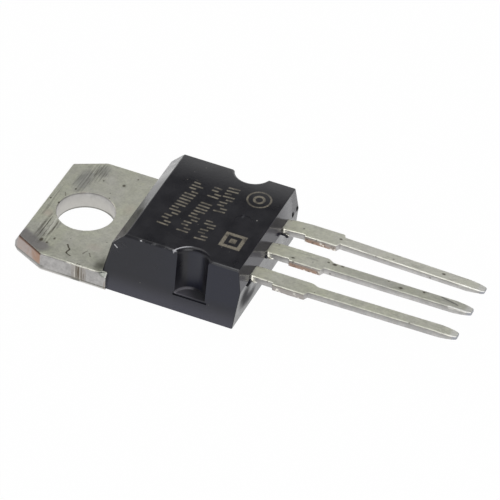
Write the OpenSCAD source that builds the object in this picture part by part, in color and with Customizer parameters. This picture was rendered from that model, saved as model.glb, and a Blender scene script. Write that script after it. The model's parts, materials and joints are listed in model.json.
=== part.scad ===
// Three-lead voltage regulator in a flat power package with a screw-down metal tab.
// Sizes are in millimetres. The origin is the centre of the mounting hole on the back face,
// +X runs towards the leads, +Y across the package and +Z out of the marked face.

/* [Tab] */
// Thickness of the metal tab
tab_t = 1.27; // [1.15:0.01:1.4]
// Width of the tab
tab_w = 10.2; // [10:0.05:10.6]
// Length of tab that stands clear of the body
tab_exposed = 6.35; // [6.1:0.05:6.8]
// Diameter of the mounting hole
hole_d = 3.8; // [3.2:0.05:4.2]
// Distance from the tab's free end to the centre of the hole
hole_to_end = 2.8; // [2.5:0.05:3]
// Length of each corner cut, along the tab
corner_x = 2; // [0.5:0.05:2.4]
// Length of each corner cut, across the tab
corner_y = 1.05; // [0.5:0.05:1.8]

/* [Header inside the body] */
// Distance from the end of the thick header to the parting line of the lead-end face
header_to_end = 2.82; // [2.4:0.01:3.2]
// How far each side of the header lies inside the side of the tab, seen on the back
pad_in = 1.1; // [0.9:0.05:1.4]
// How far the header's upper part reaches under the plastic on each side, to lock it
lock_out = 0.35; // [0.1:0.05:0.5]
// Height of that locking step above the back face
lock_z = 0.6; // [0.4:0.05:0.8]
// How far the full width of the tab runs in under the body's end face
shoulder_in = 0.2; // [0.1:0.05:0.4]
// Length over which the middle lead climbs from the header to the lead plane
tongue_run = 1.3; // [1:0.05:1.5]
// Width of the climbing tongue
tongue_w = 1.5; // [1.2:0.05:1.8]

/* [Body] */
// Length of the moulded body, from the end face at the tab to the parting line
body_len = 9.17; // [9:0.01:9.6]
// Thickness of the package, from the back face to the marked face
body_t = 4.45; // [4.35:0.01:4.6]
// How far each side of the tab stands out past the body's base
side_step = 0.15; // [0.05:0.01:0.3]
// Draft of the long sides, in degrees
side_draft = 5.4; // [2:0.1:7]
// Draft of the end face at the tab, in degrees
tab_end_draft = 7.5; // [2:0.1:9]
// Draft of the lead-end face below the parting line, in degrees
lower_draft = 6.4; // [2:0.1:8]
// Draft of the lead-end face above the parting line, in degrees
upper_draft = 8.9; // [2:0.1:12]
// Length of the sloping strip between the end face at the tab and the marked face
slope_run = 0.97; // [0.4:0.01:1.2]
// Height of that sloping strip
slope_rise = 0.9; // [0.3:0.01:1.1]
// Radius of the upright corners beside the tab
corner_r = 0.3; // [0.1:0.05:0.6]

/* [Side notches] */
// Radius of the half-round notch in each long side
notch_r = 1.05; // [0.8:0.05:1.3]
// Depth of the notch at the base of the side
notch_depth = 1; // [0.7:0.05:1.05]
// Distance from the parting line to the notch's axis
notch_to_end = 3.37; // [2.8:0.01:3.6]
// Height of the notch's floor above the header's top
notch_floor = 0.05; // [0:0.05:0.4]
// Width of the funnelled rim round the top of the notch
notch_rim = 0.25; // [0.1:0.05:0.35]
// Depth of the shallow ledge below the notch's floor
ledge_depth = 0.12; // [0.05:0.01:0.2]
// Height of that ledge
ledge_h = 0.25; // [0.1:0.05:0.4]

/* [Leads] */
// Distance between the centres of neighbouring leads
pitch = 2.54; // [2.4:0.01:2.7]
// Thickness of the leads
lead_t = 0.5; // [0.45:0.01:0.6]
// Height of the leads' underside above the back face
lead_z = 2.6; // [2.4:0.01:2.7]
// Length of a lead outside the body
lead_len = 13.6; // [12.7:0.1:14.2]
// Width of a lead where it leaves the body
root_w = 1.1; // [0.95:0.01:1.2]
// Width of a lead beyond its shoulder
lead_w = 0.74; // [0.6:0.01:0.88]
// Distance from the body to the start of the cut stub on a lead's side
stub_from = 1.7; // [1.4:0.05:2]
// Length of that stub
stub_len = 2.2; // [1.6:0.05:2.2]
// How far the stub stands out of the lead's side
stub_out = 0.15; // [0.05:0.01:0.3]
// Distance from the body to the lead's shoulder
shoulder_from = 3.72; // [3.5:0.01:3.95]
// Length of the shoulder's taper
shoulder_run = 0.35; // [0.1:0.05:0.8]
// Length of the pointed end of a lead
tip_run = 1.1; // [0.6:0.05:1.5]
// Width of the very end of a lead
tip_w = 0.42; // [0.3:0.01:0.6]
// How far the pointed end is thinned on each face
tip_thin = 0.1; // [0.05:0.01:0.2]
// How far the ends of the outer leads lean in towards the middle one
tip_lean = 0.25; // [0:0.05:0.5]

/* [Bonding posts] */
// Length of the flat post at the inner end of each outer lead
post_len = 1.3; // [1:0.05:1.4]
// Width of that post
post_w = 1.9; // [1.5:0.05:2]
// Thickness of plastic between the post and the lead-end face, at the parting line
post_cover = 0.55; // [0.4:0.05:0.7]

/* [Die and wires] */
// Length of the silicon die, along the package
die_l = 2.4; // [1.8:0.05:2.8]
// Width of the die
die_w = 2.1; // [1.6:0.05:2.6]
// Thickness of the die
die_t = 0.28; // [0.2:0.01:0.35]
// Distance from the die to the end of the thick header
die_to_end = 1.7; // [1.3:0.05:2]
// Thickness of the solder under the die
solder_t = 0.05; // [0.03:0.01:0.1]
// How far the solder stands out round the die
solder_out = 0.12; // [0.05:0.01:0.2]
// Diameter of the bond wires
wire_d = 0.25; // [0.15:0.01:0.3]
// Half the angle of the arc in which each bond wire loops over, in degrees
loop_half = 60; // [52:1:70]
// Distance of each bond from the edge of what it is bonded to
bond_in = 0.35; // [0.25:0.05:0.45]

/* [Hidden] */
$fn = 48;
past = 1;                                   // how far a cutting shape runs past what it cuts

tinned = [0.62, 0.62, 0.56];
epoxy = [0.13, 0.13, 0.14];
silicon = [0.36, 0.38, 0.43];
solder = [0.55, 0.55, 0.56];
aluminium = [0.8, 0.8, 0.82];

tab_x = -hole_to_end;                       // free end of the tab
face_x = tab_x + tab_exposed;               // foot of the body's end face, on the tab
neck_x = face_x + shoulder_in;              // end of the tab's full width
pad_w = tab_w - 2 * pad_in;
body_w = tab_w - 2 * side_step;
end_x = face_x + body_len;                  // lead-end face at the parting line
header_x = end_x - header_to_end;           // end of the thick header
parting_z = lead_z + lead_t / 2;
lead_top = lead_z + lead_t;
tip_x = end_x + lead_len;
shoulder_x = end_x + shoulder_from;

slope_foot_z = body_t - slope_rise;
slope_foot_x = face_x + (slope_foot_z - tab_t) * tan(tab_end_draft);
lower_in = parting_z * tan(lower_draft);
upper_in = (body_t - parting_z) * tan(upper_draft);
side_in = body_t * tan(side_draft);

notch_x = end_x - notch_to_end;
notch_y = body_w / 2 - notch_depth + notch_r;
notch_z = tab_t + notch_floor;
ledge_w = 2 * notch_r + 0.2;
ledge_y = body_w / 2 - notch_z * tan(side_draft) - ledge_depth;

post_x1 = end_x - post_cover;
post_x0 = post_x1 - post_len;
die_x = header_x - die_to_end - die_l / 2;
die_z = tab_t + solder_t;
die_top = die_z + die_t;
wire_foot = 0.19;                           // length of wire that is trimmed off at each bond

// Outline of a lead from x0 to its tip, on the line y = 0, its end moved sideways by lean.
module lead_outline(x0, lean) {
    root = root_w / 2;
    half = lead_w / 2;
    stub_x0 = end_x + stub_from;
    stub_x1 = stub_x0 + stub_len;
    point_x = tip_x - tip_run;
    point_lean = lean * (point_x - shoulder_x) / (tip_x - shoulder_x);
    polygon([
        [x0, -root],
        [stub_x0, -root],
        [stub_x0 + stub_out / 2, -root - stub_out],
        [stub_x1, -root - stub_out],
        [stub_x1 + stub_out, -half],
        [point_x, point_lean - half],
        [tip_x, lean - tip_w / 2],
        [tip_x, lean + tip_w / 2],
        [point_x, point_lean + half],
        [shoulder_x + shoulder_run, half],
        [shoulder_x, root],
        [x0, root]
    ]);
}

// Straight lead whose end is thinned on both faces.
module lead_blade(x0, y0, lean) {
    intersection() {
        translate([0, y0, lead_z]) linear_extrude(lead_t) lead_outline(x0, lean);
        translate([0, tab_w, 0]) rotate([90, 0, 0]) linear_extrude(2 * tab_w) polygon([
            [x0 - past, lead_z],
            [tip_x - tip_run, lead_z],
            [tip_x, lead_z + tip_thin],
            [tip_x, lead_top - tip_thin],
            [tip_x - tip_run, lead_top],
            [x0 - past, lead_top]
        ]);
    }
}

// Outer lead on the given side of the middle one, with the flat post that takes its bond wire.
module outer_lead(side) {
    y0 = side * pitch;
    lead_blade(post_x1 - 0.1, y0, -side * tip_lean);
    translate([post_x0, y0 - post_w / 2, lead_z]) cube([post_len, post_w, lead_t]);
}

// Tongue that climbs from the header's top to the lead plane at one thickness.
module tongue() {
    climb = lead_top - tab_t;
    inset = lead_t * tan(atan2(climb, tongue_run) / 2);
    translate([0, tongue_w / 2, 0]) rotate([90, 0, 0]) linear_extrude(tongue_w) polygon([
        [header_x - lead_t - inset, tab_t - lead_t],
        [header_x, tab_t - lead_t],
        [header_x + tongue_run, lead_z],
        [post_x1, lead_z],
        [post_x1, lead_top],
        [header_x + tongue_run - inset, lead_top],
        [header_x - inset, tab_t],
        [header_x - lead_t - inset, tab_t]
    ]);
}

// Thick plate with its cut corners, and the narrower header with its locking steps.
module header_plate() {
    half = tab_w / 2;
    linear_extrude(tab_t) polygon([
        [tab_x + corner_x, -half],
        [neck_x, -half],
        [neck_x, half],
        [tab_x + corner_x, half],
        [tab_x, half - corner_y],
        [tab_x, -half + corner_y]
    ]);
    translate([neck_x, -pad_w / 2, 0]) cube([header_x - neck_x, pad_w, tab_t]);
    translate([neck_x, -pad_w / 2 - lock_out, lock_z])
        cube([header_x - neck_x, pad_w + 2 * lock_out, tab_t - lock_z]);
}

module heatsink_tab() {
    color(tinned) difference() {
        union() {
            header_plate();
            tongue();
            lead_blade(post_x1 - 0.1, 0, 0);
        }
        translate([0, 0, -past]) cylinder(d = hole_d, h = tab_t + 2 * past);
    }
}

module input_lead() {
    color(tinned) outer_lead(-1);
}

module output_lead() {
    color(tinned) outer_lead(1);
}

module silicon_die() {
    color(silicon) translate([die_x - die_l / 2, -die_w / 2, die_z]) cube([die_l, die_w, die_t]);
}

module die_solder() {
    l = die_l + 2 * solder_out;
    w = die_w + 2 * solder_out;
    color(solder) translate([die_x - l / 2, -w / 2, tab_t]) cube([l, w, solder_t]);
}

// Round wire on one arc from point a up and over to point b, run on past both by wire_foot.
module wire_arc(a, b) {
    d = norm([b.x - a.x, b.y - a.y]);
    h = b.z - a.z;
    chord = norm([d, h]);
    r = chord / 2 / sin(loop_half);
    k = r * cos(loop_half);
    cu = d / 2 + k * h / chord;
    cz = h / 2 - k * d / chord;
    foot = wire_foot / r * 180 / PI;
    from = atan2(h - cz, d - cu) - foot;
    to = atan2(-cz, -cu) + foot;
    translate(a) rotate([0, 0, atan2(b.y - a.y, b.x - a.x)]) translate([cu, 0, cz]) rotate([90, 0, 0])
        rotate([0, 0, from]) rotate_extrude(angle = to - from) translate([r, 0]) circle(d = wire_d, $fn = 24);
}

// Bond wire from a pad on the die to the post of an outer lead.
module post_wire(side) {
    pad = [die_x + die_l / 2 - 2 * bond_in, side * (die_w / 2 - bond_in), die_top];
    post = [post_x0 + bond_in, side * (pitch - post_w / 4), lead_top];
    color(aluminium) difference() {
        wire_arc(pad, post);
        silicon_die();
        outer_lead(side);
    }
}

module input_wire() {
    post_wire(-1);
}

module output_wire() {
    post_wire(1);
}

// Short bond wire that grounds the die to the header.
module ground_wire() {
    pad = [die_x + die_l / 2 - bond_in, 0, die_top];
    seat = [header_x - lead_t - bond_in, 0, tab_t];
    color(aluminium) difference() {
        wire_arc(pad, seat);
        silicon_die();
        header_plate();
    }
}

// Outer form of the moulding: a side profile, an end profile and a plan, all drafted as the mould is.
module body_form() {
    intersection() {
        translate([0, body_w, 0]) rotate([90, 0, 0]) linear_extrude(2 * body_w) polygon([
            [neck_x, 0],
            [end_x - lower_in, 0],
            [end_x, parting_z],
            [end_x - upper_in, body_t],
            [slope_foot_x + slope_run, body_t],
            [slope_foot_x, slope_foot_z],
            [face_x, tab_t],
            [neck_x, tab_t]
        ]);
        translate([face_x, 0, 0]) rotate([90, 0, 90]) linear_extrude(body_len) polygon([
            [-body_w / 2, 0],
            [body_w / 2, 0],
            [body_w / 2 - side_in, body_t],
            [-body_w / 2 + side_in, body_t]
        ]);
        linear_extrude(body_t) union() {
            translate([face_x + corner_r, -body_w / 2]) square([body_len - corner_r, body_w]);
            translate([face_x, -body_w / 2 + corner_r]) square([body_len, body_w - 2 * corner_r]);
            for (side = [-1, 1])
                translate([face_x + corner_r, side * (body_w / 2 - corner_r)]) circle(corner_r);
        }
    }
}

// Half-round notch from the marked face down to its floor, with a funnelled rim and a shallow ledge.
module side_notch(side) {
    translate([notch_x, side * notch_y, notch_z]) cylinder(r = notch_r, h = body_t);
    translate([notch_x, side * notch_y, body_t - notch_rim])
        cylinder(r1 = notch_r, r2 = notch_r + 2 * notch_rim, h = 2 * notch_rim);
    translate([notch_x - ledge_w / 2, side > 0 ? ledge_y : -ledge_y - past, notch_z - ledge_h])
        cube([ledge_w, past, ledge_h]);
}

module moulded_body() {
    color(epoxy) difference() {
        body_form();
        for (side = [-1, 1]) {
            side_notch(side);
            outer_lead(side);
            post_wire(side);
        }
        heatsink_tab();
        silicon_die();
        die_solder();
        ground_wire();
    }
}

heatsink_tab();
input_lead();
output_lead();
silicon_die();
die_solder();
input_wire();
output_wire();
ground_wire();
moulded_body();
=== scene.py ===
# %% [markdown]
# # A three-lead voltage regulator in its flat power package
#
# A small black moulding sits on one end of a thick metal tab, and three flat leads leave its other end.
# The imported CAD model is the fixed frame: it says where every piece lies. Blender remodels the four pieces
# that show, with their rounded, sheared and scuffed edges, and gives every surface its finish.
# The part is 29 mm long, so each piece is modelled in millimetres and shrunk to metres when it is done.

# %% Load the frame and read its sizes
import contextlib
import json
import math

import bmesh
import bpy
from mathutils import Matrix, Vector


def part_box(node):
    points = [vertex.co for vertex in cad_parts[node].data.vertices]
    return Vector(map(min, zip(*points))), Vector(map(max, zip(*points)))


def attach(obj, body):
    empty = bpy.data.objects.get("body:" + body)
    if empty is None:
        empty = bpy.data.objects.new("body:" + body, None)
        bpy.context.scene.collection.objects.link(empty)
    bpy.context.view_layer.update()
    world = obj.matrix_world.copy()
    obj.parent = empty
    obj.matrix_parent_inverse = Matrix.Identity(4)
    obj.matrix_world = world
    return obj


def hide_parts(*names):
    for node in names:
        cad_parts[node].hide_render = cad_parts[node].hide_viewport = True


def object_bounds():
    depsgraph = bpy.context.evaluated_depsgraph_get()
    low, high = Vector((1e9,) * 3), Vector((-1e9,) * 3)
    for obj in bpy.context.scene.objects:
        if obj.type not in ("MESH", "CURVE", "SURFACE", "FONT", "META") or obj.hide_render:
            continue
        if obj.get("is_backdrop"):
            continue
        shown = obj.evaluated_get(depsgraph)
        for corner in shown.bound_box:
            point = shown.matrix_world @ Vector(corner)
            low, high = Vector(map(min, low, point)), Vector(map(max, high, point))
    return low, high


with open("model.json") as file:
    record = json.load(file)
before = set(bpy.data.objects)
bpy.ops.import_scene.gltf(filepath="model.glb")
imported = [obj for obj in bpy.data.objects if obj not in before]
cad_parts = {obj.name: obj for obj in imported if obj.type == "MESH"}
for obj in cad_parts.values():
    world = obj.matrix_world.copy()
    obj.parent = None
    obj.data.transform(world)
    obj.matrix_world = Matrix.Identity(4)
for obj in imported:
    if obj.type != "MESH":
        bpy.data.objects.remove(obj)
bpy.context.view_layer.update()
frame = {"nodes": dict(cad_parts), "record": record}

MM = 0.001


def corners(node):
    """Lowest and highest corner of a CAD node, in millimetres."""
    low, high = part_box(node)
    return low / MM, high / MM


tab_low, tab_high = corners("heatsink_tab")
body_low, body_high = corners("moulded_body")
lead_low, lead_high = corners("input_lead")
hole = next(mount for mount in frame["record"]["mounts"] if mount["name"] == "mounting_hole")
hole_r = hole["dims"]["r_mm"]
tab_t = hole["dims"]["length_mm"]

# %% [markdown]
# The camera looks down at 40 degrees from the side of the first lead, from a good way off with a long lens,
# so that the parallel edges stay nearly parallel. It is rolled a few degrees, as a hand-held one is.

# %% Camera
view_azimuth = math.radians(21.17)
view_elevation = math.radians(39.99)
view_roll = math.radians(3.56)
view_target = Vector((0.01037, 0.0026, 0))
view_distance = 0.2582
view_lens = 291.2

to_camera = Vector((
    math.cos(view_elevation) * math.sin(view_azimuth),
    -math.cos(view_elevation) * math.cos(view_azimuth),
    math.sin(view_elevation),
))
level_right = Vector((0, 0, 1)).cross(to_camera).normalized()
level_up = to_camera.cross(level_right)
roll = Matrix.Rotation(view_roll, 3, to_camera)
camera_data = bpy.data.cameras.new("camera")
camera_data.lens = view_lens
camera_data.clip_start = 0.01
camera = bpy.data.objects.new("camera", camera_data)
bpy.context.scene.collection.objects.link(camera)
camera.matrix_world = Matrix.Translation(view_target + to_camera * view_distance) @ (
    Matrix((roll @ level_right, roll @ level_up, to_camera)).transposed().to_4x4()
)
bpy.context.scene.camera = camera
print("camera at", [round(v, 3) for v in camera.matrix_world.translation])

# %% [markdown]
# Every edit below follows the same pattern: leave whatever mode is on, select one object, go into edit mode,
# select faces or edges by where they are or which way they face, and run an operator on them.
# These helpers keep that pattern short.

# %% Helpers for modelling
def idle():
    """Object mode with nothing selected."""
    if bpy.context.object and bpy.context.object.mode != "OBJECT":
        bpy.ops.object.mode_set(mode="OBJECT")
    bpy.ops.object.select_all(action="DESELECT")


def activate(obj):
    idle()
    obj.select_set(True)
    bpy.context.view_layer.objects.active = obj


@contextlib.contextmanager
def editing(obj, mode="FACE"):
    """Edit mode on one object, with nothing selected in it."""
    activate(obj)
    bpy.ops.object.mode_set(mode="EDIT")
    bpy.ops.mesh.select_mode(type=mode)
    bpy.ops.mesh.select_all(action="DESELECT")
    yield
    bpy.ops.object.mode_set(mode="OBJECT")


def pick_faces(obj, test):
    """In edit mode, select the faces for which test(centre, normal) is true."""
    mesh = bmesh.from_edit_mesh(obj.data)
    bpy.ops.mesh.select_all(action="DESELECT")
    for face in mesh.faces:
        if test(face.calc_center_median(), face.normal):
            face.select_set(True)
    bmesh.update_edit_mesh(obj.data)


def pick_edges(obj, test):
    """In edit mode, select the edges for which test(centre, direction, angle between faces) is true."""
    mesh = bmesh.from_edit_mesh(obj.data)
    bpy.ops.mesh.select_all(action="DESELECT")
    for edge in mesh.edges:
        start, end = (vertex.co for vertex in edge.verts)
        bend = math.degrees(edge.calc_face_angle(0))
        if test((start + end) / 2, (end - start).normalized(), bend):
            edge.select_set(True)
    bmesh.update_edit_mesh(obj.data)


def settle():
    """Bake the active object's place, turn and size into its mesh."""
    bpy.ops.object.transform_apply(location=True, rotation=True, scale=True)


def block(name, low, high):
    """A cube stretched between two corners."""
    low, high = Vector(low), Vector(high)
    idle()
    bpy.ops.mesh.primitive_cube_add(size=1, location=(low + high) / 2, scale=high - low)
    bpy.context.object.name = name
    settle()
    return bpy.context.object


def bead(at, radii, steps=2):
    """A small pebble with rounded facets."""
    idle()
    bpy.ops.mesh.primitive_ico_sphere_add(subdivisions=steps, radius=1, location=at, scale=radii)
    settle()
    return bpy.context.object


def slice_off(obj, point, outward):
    """Bisect the whole mesh and drop what lies on the outward side."""
    with editing(obj):
        bpy.ops.mesh.select_all(action="SELECT")
        bpy.ops.mesh.bisect(plane_co=point, plane_no=outward, use_fill=True, clear_outer=True)


def score(obj, point, normal):
    """Cut an edge loop round the mesh where a plane meets it, dropping nothing."""
    with editing(obj):
        bpy.ops.mesh.select_all(action="SELECT")
        bpy.ops.mesh.bisect(plane_co=point, plane_no=normal)


def round_edges(obj, width, test, segments=3):
    """Bevel the edges that pass the test."""
    with editing(obj, "EDGE"):
        pick_edges(obj, test)
        bpy.ops.mesh.bevel(offset=width, segments=segments, affect="EDGES", clamp_overlap=True)


weld = 0.00002


def combine(obj, other, operation):
    """Join, cut or intersect obj with another solid, which is used up."""
    change = obj.modifiers.new("combine", "BOOLEAN")
    change.operation = operation
    change.solver = "MANIFOLD"
    change.object = other
    activate(obj)
    bpy.ops.object.modifier_apply(modifier=change.name)
    bpy.data.objects.remove(other)
    with editing(obj, "VERT"):
        bpy.ops.mesh.select_all(action="SELECT")
        bpy.ops.mesh.remove_doubles(threshold=weld)


def seat(node):
    """A merged copy of a CAD node in millimetres, to cut its exact seat with."""
    mesh = frame["nodes"][node].data.copy()
    copy = bpy.data.objects.new("seat of " + node, mesh)
    bpy.context.scene.collection.objects.link(copy)
    copy.scale = (1 / MM,) * 3
    activate(copy)
    settle()
    with editing(copy, "VERT"):
        bpy.ops.mesh.select_all(action="SELECT")
        bpy.ops.mesh.remove_doubles(threshold=0.0005)
    return copy


def open_edges(obj):
    """How many edges don't lie between exactly two faces."""
    mesh = bmesh.new()
    mesh.from_mesh(obj.data)
    count = sum(1 for edge in mesh.edges if len(edge.link_faces) != 2)
    mesh.free()
    return count


def finish_piece(obj, node, smooth_angle=35):
    """Shade a finished piece, shrink it to metres and put it in its node's place."""
    activate(obj)
    bpy.ops.object.shade_smooth()
    with editing(obj, "EDGE"):
        bpy.ops.mesh.edges_select_sharp(sharpness=math.radians(smooth_angle))
        bpy.ops.mesh.mark_sharp()
    weigh = obj.modifiers.new("weigh", "WEIGHTED_NORMAL")
    weigh.mode = "FACE_AREA"
    weigh.weight = 90
    weigh.keep_sharp = True
    bpy.ops.object.modifier_apply(modifier=weigh.name)
    print(obj.name, len(obj.data.polygons), "faces,", open_edges(obj), "open edges")
    obj.scale = (MM,) * 3
    settle()
    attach(obj, "root")
    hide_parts(node)

# %% [markdown]
# ## The moulded body
#
# The real body is one shot of black compound. Every face leans a little, so that it leaves the mould, and the
# lead-end face has a crease where the two mould halves met. A cube that is bisected once for each leaning face
# gives that form with a handful of faces, and the bevels then have clean edges to follow.

# %% Body block and its drafted faces
end_x = body_high.x
top_z = body_high.z
half_body = body_high.y
face_x = body_low.x
parting_z = (lead_low.z + lead_high.z) / 2

side_draft = math.radians(5.4)
tab_end_draft = math.radians(7.5)
lower_draft = math.radians(6.4)
upper_draft = math.radians(8.9)
slope_run = 0.93
slope_rise = 0.97
foot_out = 0.2

body = block("moulding", (face_x - foot_out, -half_body, 0), (end_x, half_body, top_z))
for side in (-1, 1):
    slice_off(body, (face_x, side * half_body, 0), (0, side * math.cos(side_draft), math.sin(side_draft)))
parting = (end_x, 0, parting_z)
slice_off(body, parting, (math.cos(upper_draft), 0, math.sin(upper_draft)))
slice_off(body, parting, (math.cos(lower_draft), 0, -math.sin(lower_draft)))
slope_foot = Vector((face_x + (top_z - slope_rise - tab_t) * math.tan(tab_end_draft), 0, top_z - slope_rise))
foot_draft = math.atan2(slope_foot.x - face_x + foot_out, slope_foot.z - tab_t)
slice_off(body, slope_foot, (-math.cos(foot_draft), 0, math.sin(foot_draft)))
slice_off(body, slope_foot, Vector((-slope_rise, 0, slope_run)).normalized())
print("body block has", len(body.data.polygons), "faces")

# %% [markdown]
# The corners beside the tab are well rounded and all the other edges are only just broken, as a mould leaves
# them. Widths differ, so each group of edges is picked by its place and bevelled on its own.

# %% Round the body's edges
corner_r = 0.2
edge_r = 0.06
shoulders = {-1: 0.17, 1: 0.08}
parting_r = 0.03

round_edges(body, corner_r, lambda at, along, bend: bend > 40 and abs(along.z) > 0.9 and at.x < face_x + 1, 5)
round_edges(body, parting_r, lambda at, along, bend: abs(along.y) > 0.99 and abs(at.z - parting_z) < 0.01, 2)
for side, shoulder_r in shoulders.items():
    round_edges(
        body, shoulder_r,
        lambda at, along, bend: bend > 40 and abs(along.x) > 0.9 and at.z > top_z - 0.01 and side * at.y > half_body / 2, 4,
    )
round_edges(body, edge_r, lambda at, along, bend: bend > 25 and at.z > 0.01)
print("rounded body has", len(body.data.polygons), "faces")

# %% [markdown]
# Each long side has a half-round notch where a mould pin held the header down. The cutter is a slim cone whose
# top opens in a quarter round, so that the boolean leaves a soft rim round the notch. A thin ledge lies
# below the notch's floor.

# %% Side notches
notch_r = 1.05
notch_top_r = 1.14
notch_x = end_x - 3.33
notch_y = half_body + 0.05
notch_floor = tab_t + 0.05
rims = {-1: 0.32, 1: 0.24}
wider = {-1: 0, 1: 0.08}
rim_steps = 6
rim_turn = math.radians(76)
ledge_half = notch_r + 0.1
ledge_depth = 0.07
ledge_h = 0.16


def notch_cutter(side):
    """Cone with a flared mouth, on the notch's axis."""
    axis = Vector((notch_x, side * notch_y, 0))
    rim_r = rims[side]
    shaft_top = top_z - rim_r
    top_r = notch_top_r + wider[side]
    idle()
    bpy.ops.mesh.primitive_cone_add(
        vertices=72, radius1=notch_r + wider[side], radius2=top_r, depth=shaft_top - notch_floor,
        location=axis + Vector((0, 0, (shaft_top + notch_floor) / 2)),
    )
    cutter = bpy.context.object
    settle()
    with editing(cutter):
        pick_faces(cutter, lambda at, normal: normal.z > 0.9)
        radius, height = top_r, shaft_top
        profile = [rim_turn * step / rim_steps for step in range(1, rim_steps + 1)]
        rings = [(top_r + rim_r * (1 - math.cos(turn)), shaft_top + rim_r * math.sin(turn)) for turn in profile]
        rings.append((rings[-1][0] + 0.4, rings[-1][1] + 0.4 / math.tan(rim_turn)))
        for ring_r, ring_z in rings:
            bpy.ops.mesh.extrude_region_move(TRANSFORM_OT_translate={"value": (0, 0, ring_z - height)})
            bpy.ops.transform.resize(value=(ring_r / radius, ring_r / radius, 1), center_override=axis)
            radius, height = ring_r, ring_z
    return cutter


def side_y(z):
    """How far out the drafted side lies at a height."""
    return half_body - z * math.tan(side_draft)


for side in (-1, 1):
    combine(body, notch_cutter(side), "DIFFERENCE")
    inner = side * (side_y(notch_floor) - ledge_depth)
    outer = side * (half_body + 1)
    ledge = block(
        "ledge", (notch_x - ledge_half, min(inner, outer), notch_floor - ledge_h),
        (notch_x + ledge_half, max(inner, outer), notch_floor),
    )
    combine(body, ledge, "DIFFERENCE")
round_edges(
    body, 0.42,
    lambda at, along, bend: bend > 35 and abs(along.z) > 0.3 and at.y > side_y(at.z) - 0.05 and abs(at.x - notch_x) < 1.55, 5,
)
print("notched body has", len(body.data.polygons), "faces,", open_edges(body), "open edges")

# %% [markdown]
# The metal, the die and the wires were in the mould when the body was shot, so their seats are cut with copies
# of the CAD solids. The compound has broken away a little under the near edge of each lead, and the
# mould's ejector pin has left a shallow round mark on the top.

# %% Seats, root pockets and the ejector mark
pitch = 2.54
root_half = 0.55
pocket_out = 0.11
pocket_in = 0.3
pocket_depth = 0.3
pocket_low = -0.1
ejector_at = Vector((10.8, -0.03, 0))
ejector_r = 0.62
ejector_depth = 0.014

insert = seat("heatsink_tab")
for name in sorted(set(frame["nodes"]) - {"moulded_body", "heatsink_tab"}):
    combine(insert, seat(name), "UNION")
print("insert has", len(insert.data.polygons), "faces,", open_edges(insert), "open edges")
combine(body, insert, "DIFFERENCE")
for lead in (-1, 0, 1):
    near = lead * pitch - root_half
    pocket = block(
        "pocket", (end_x - pocket_depth, near - pocket_out, lead_low.z - pocket_low),
        (end_x + 1, near + pocket_in, lead_low.z + 0.54),
    )
    round_edges(pocket, 0.08, lambda at, along, bend: abs(along.x) > 0.9)
    combine(body, pocket, "DIFFERENCE")
idle()
bpy.ops.mesh.primitive_cylinder_add(
    vertices=48, radius=ejector_r, depth=2 * ejector_depth, location=ejector_at + Vector((0, 0, top_z)),
)
ejector = bpy.context.object
settle()
combine(body, ejector, "DIFFERENCE")
flash = (
    ((0.14, 1.92, 2.71), (0.3, 0.08, 0.08)), ((0.36, 1.9, 2.64), (0.12, 0.08, 0.09)),
    ((0.03, -0.64, 2.76), (0.1, 0.08, 0.13)), ((0.03, -3.18, 2.68), (0.1, 0.08, 0.17)),
    ((0.0, -3.36, 2.55), (0.08, 0.2, 0.07)),
)
for (out, across, up), radii in flash:
    combine(body, bead((end_x + out, across, up), radii), "UNION")
chips = (
    ((5.85, -4.6, 4.4), (0.2, 0.1, 0.1)), ((4.98, -4.55, 4.44), (0.12, 0.08, 0.07)), ((7.1, -4.6, 4.42), (0.16, 0.06, 0.06)),
    ((11.3, -4.6, 4.42), (0.2, 0.06, 0.06)), ((4.2, -4.72, 3.42), (0.16, 0.06, 0.05)), ((3.98, -4.66, 3.66), (0.1, 0.08, 0.12)),
    ((12.72, 3.72, 2.95), (0.1, 0.15, 0.13)), ((12.72, 4.4, 2.98), (0.1, 0.12, 0.15)),
)
for at, radii in chips:
    combine(body, bead(at, radii), "DIFFERENCE")
with editing(body):
    bpy.ops.mesh.select_all(action="SELECT")
    bpy.ops.mesh.dissolve_limited(angle_limit=math.radians(0.3))
print("body with seats has", len(body.data.polygons), "faces,", open_edges(body), "open edges")

# %% [markdown]
# ## The tab
#
# Tab, header and middle lead are stamped from one copper strip and tinned. The stamping rounds the edges
# on the side where the punch came in and leaves the free end bulging at its foot, where the strip tore rather
# than cut.

# %% Tab plate with its cut corners
tab_x = tab_low.x
half_tab = tab_high.y
neck_x = face_x + 0.2
corner_cut = Vector((2.0, 1.05))
bulge = {0.95: 0.09, 0.7: 0.27, 0.3: 0.3, 0: 0.13}
roll_r = 0.09
burr_r = 0.03

tab = block("tab_and_middle_lead", (tab_x, -half_tab, 0), (neck_x, half_tab, tab_t))
for side in (-1, 1):
    outward = Vector((-corner_cut.y, side * corner_cut.x, 0)).normalized()
    slice_off(tab, (tab_x, side * (half_tab - corner_cut.y), 0), outward)
for height in bulge:
    if height > 0:
        score(tab, (0, 0, height), (0, 0, 1))
with editing(tab, "EDGE"):
    for height, out in bulge.items():
        pick_edges(tab, lambda at, along, bend: at.x < tab_x + 0.01 and abs(at.z - height) < 0.01 and abs(along.y) > 0.9)
        bpy.ops.transform.translate(value=(-out, 0, 0))
for side in (-1, 1):
    slice_off(tab, (neck_x - 0.5, side * half_tab, tab_t), (0.4, side * 0.6, 0.69))
round_edges(tab, 0.1, lambda at, along, bend: abs(along.z) > 0.7 and bend > 15 and at.x < neck_x - 0.1)
round_edges(tab, roll_r, lambda at, along, bend: at.z > tab_t - 0.01 and bend > 40 and at.x < neck_x - 0.01)
round_edges(tab, burr_r, lambda at, along, bend: at.z < 0.01 and bend > 40 and at.x < neck_x - 0.01, 2)
print("plate has", len(tab.data.polygons), "faces")

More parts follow.
